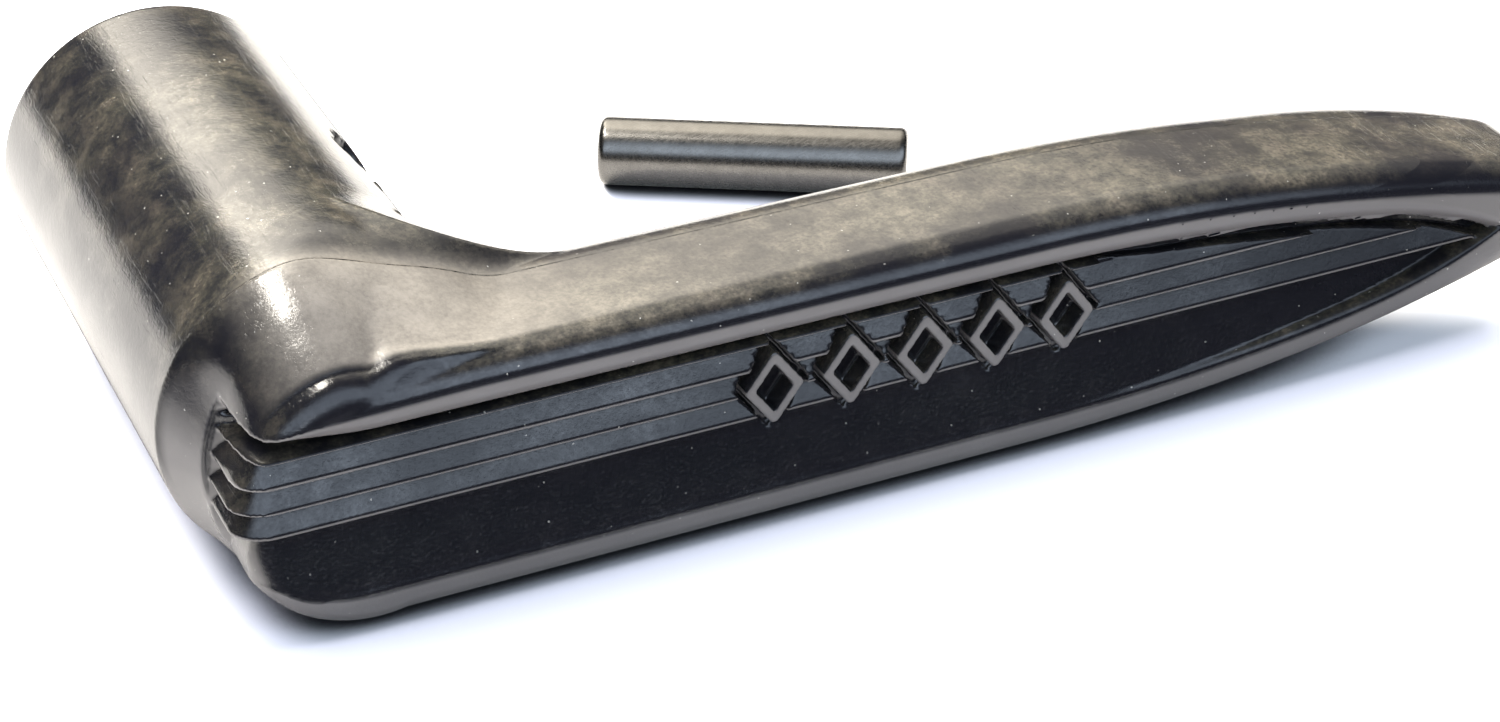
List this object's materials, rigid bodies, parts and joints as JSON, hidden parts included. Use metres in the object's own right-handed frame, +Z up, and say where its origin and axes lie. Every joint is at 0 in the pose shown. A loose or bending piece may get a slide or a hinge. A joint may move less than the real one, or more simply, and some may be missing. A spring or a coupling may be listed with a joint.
{
  "type": "parking brake pull handle",
  "caption": "L-shaped moulded pull handle with a round socket barrel for the brake rod, a bullet-shaped arm with louvre ribs and raised lozenges, and its loose steel cross pin.",
  "frame": {"origin": "on the socket axis at the open mouth of the barrel", "axes": "+Y out of the socket mouth, where the brake rod leaves; +X along the arm to its tip; +Z up as the handle lies flat on a bench, square to the other two"},
  "size_m": [0.1213, 0.0607, 0.0266],
  "materials": {
    "black_plastic": "worn semi-gloss black moulding with fine scratches and a hazed skin",
    "pin_steel": "ground and lightly polished steel"
  },
  "bodies": {
    "handle": {"handle_moulding": "black_plastic"},
    "pin": {"cross_pin": "pin_steel"}
  },
  "joints": [
    {"name": "pin_lift", "type": "slide", "parent": "handle", "child": "pin", "axis": [0, 0, 1], "range_m": [0, 0.04]}
  ]
}
